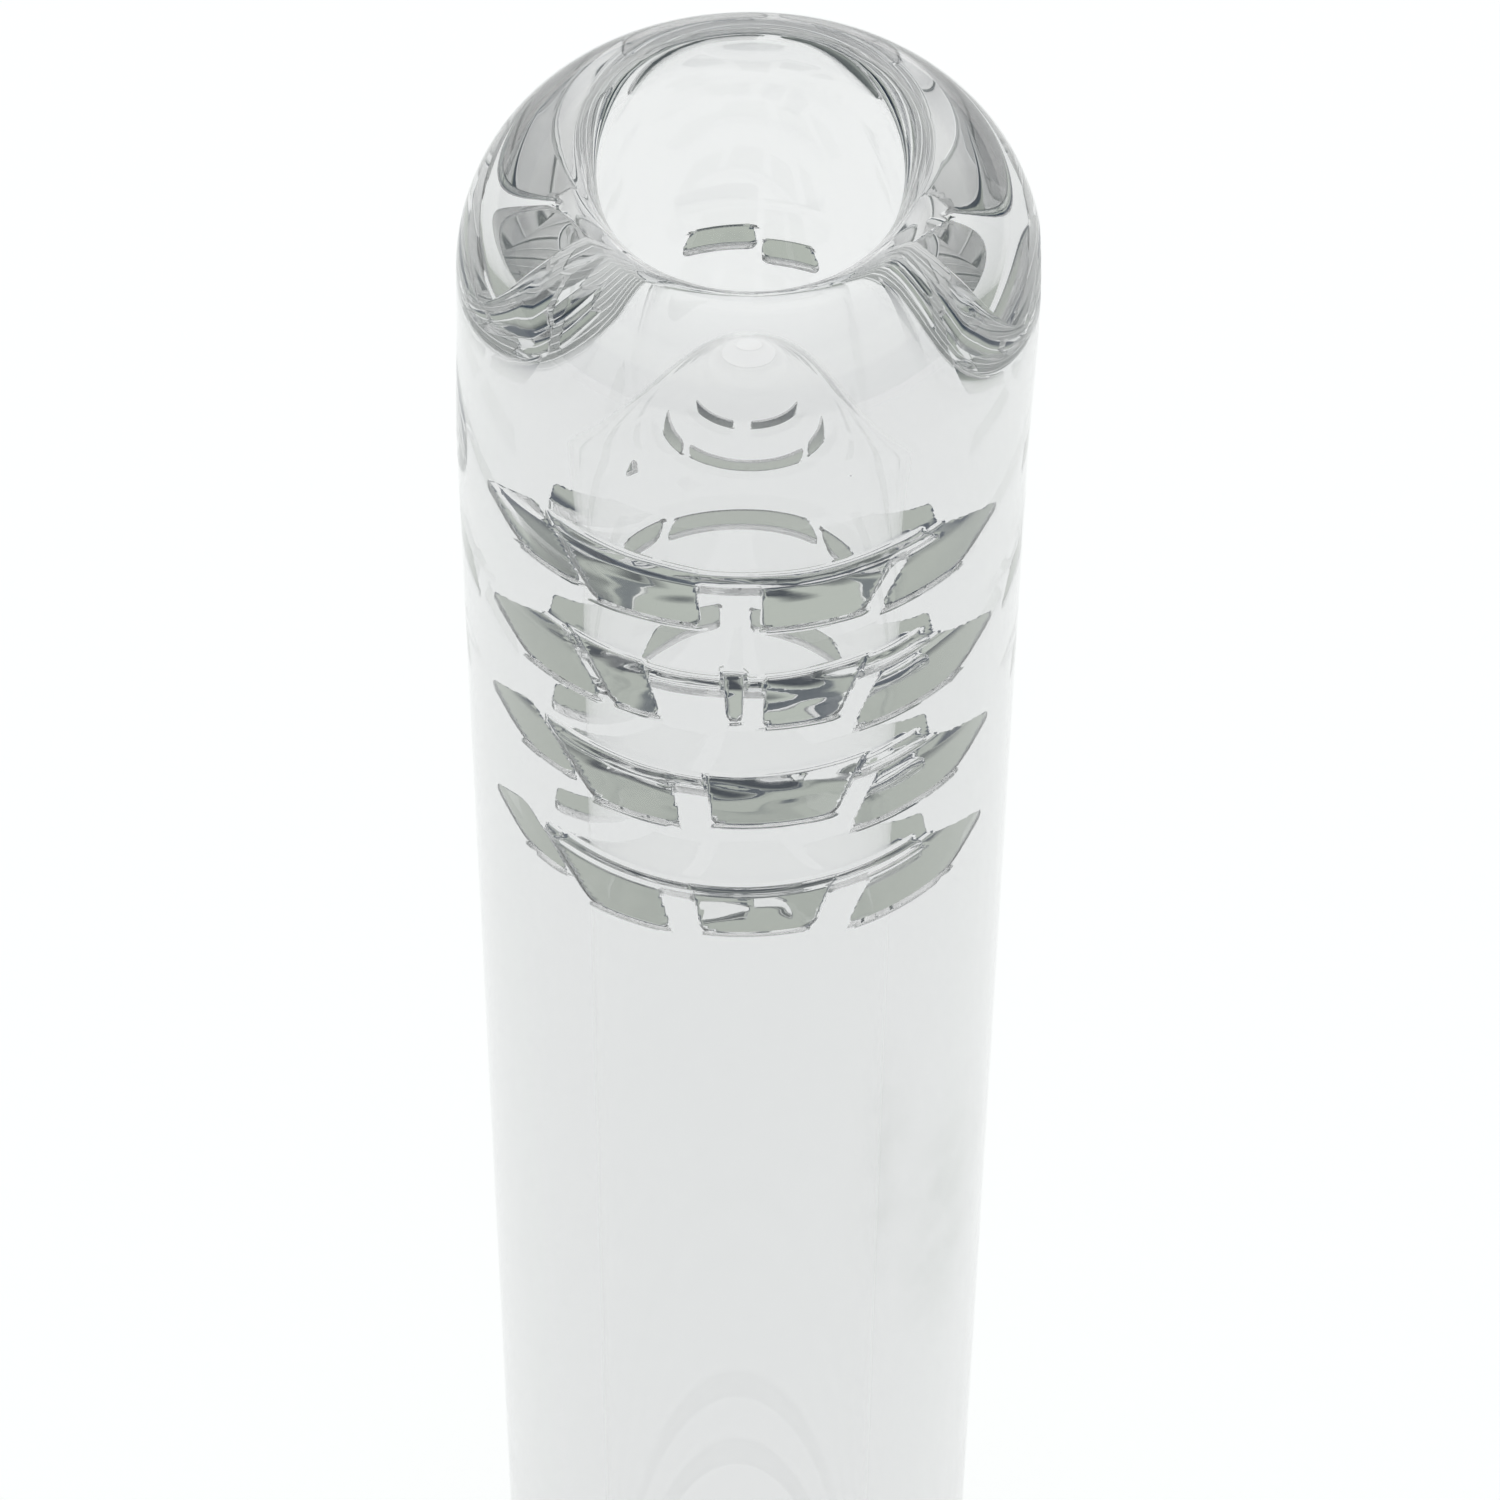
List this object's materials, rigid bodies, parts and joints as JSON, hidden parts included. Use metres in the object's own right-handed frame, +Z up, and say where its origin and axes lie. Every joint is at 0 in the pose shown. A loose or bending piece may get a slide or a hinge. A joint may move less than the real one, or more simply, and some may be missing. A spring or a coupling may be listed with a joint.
{
  "type": "slotted glass tube",
  "caption": "Clear thick-walled glass tube with a rounded, fire-polished mouth, an open through bore that narrows at the mouth, and rows of thin sawn slots through the wall below the mouth.",
  "frame": {"origin": "centre of the plain end's flat face, which the tube stands on", "axes": "+Z up along the bore, from the plain end to the rounded mouth; -Y faces the middle of the front rows of slots"},
  "size_m": [0.0126, 0.0126, 0.065],
  "materials": {
    "clear_glass": "clear, polished"
  },
  "bodies": {
    "root": {"glass_tube": "clear_glass"}
  },
  "joints": []
}
